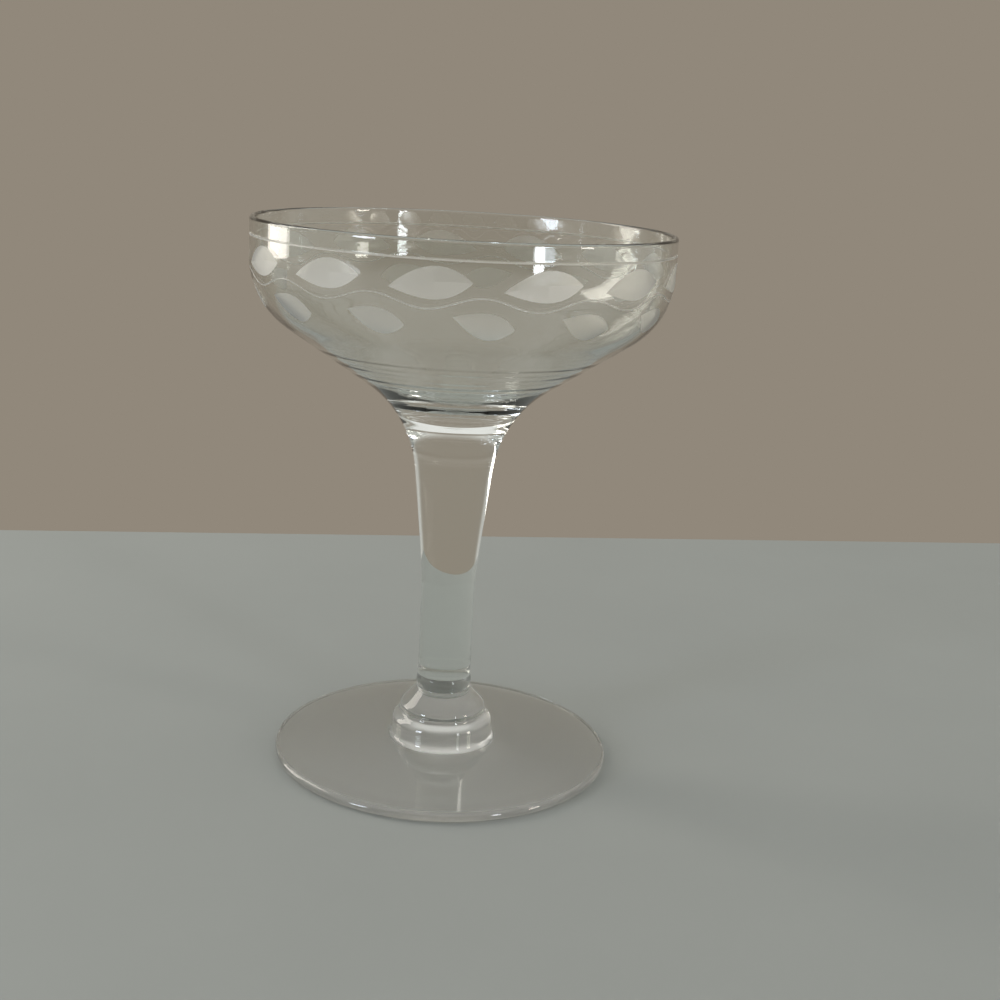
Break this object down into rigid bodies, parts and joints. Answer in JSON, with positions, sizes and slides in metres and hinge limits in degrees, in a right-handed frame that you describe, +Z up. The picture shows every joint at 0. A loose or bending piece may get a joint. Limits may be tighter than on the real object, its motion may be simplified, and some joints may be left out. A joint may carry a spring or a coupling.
{
  "type": "champagne coupe",
  "caption": "Stemmed champagne coupe in clear glass: a wide shallow bowl with a frosted leaf band, a solid stem that tapers out to the bowl, and a flat disc foot to stand on.",
  "frame": {"origin": "centre of the foot's resting ring, on the table", "axes": "+Z up along the glass's axis, out of the bowl's mouth; X and Y are any two directions across, because the glass is round"},
  "size_m": [0.0902, 0.0902, 0.12],
  "materials": {
    "bowl_glass": "clear, polished, with a wheel-cut frosted leaf band",
    "stem_glass": "clear, fire-polished",
    "foot_glass": "clear, fire-polished"
  },
  "bodies": {
    "root": {"bowl": "bowl_glass", "stem": "stem_glass", "foot": "foot_glass"}
  },
  "joints": []
}
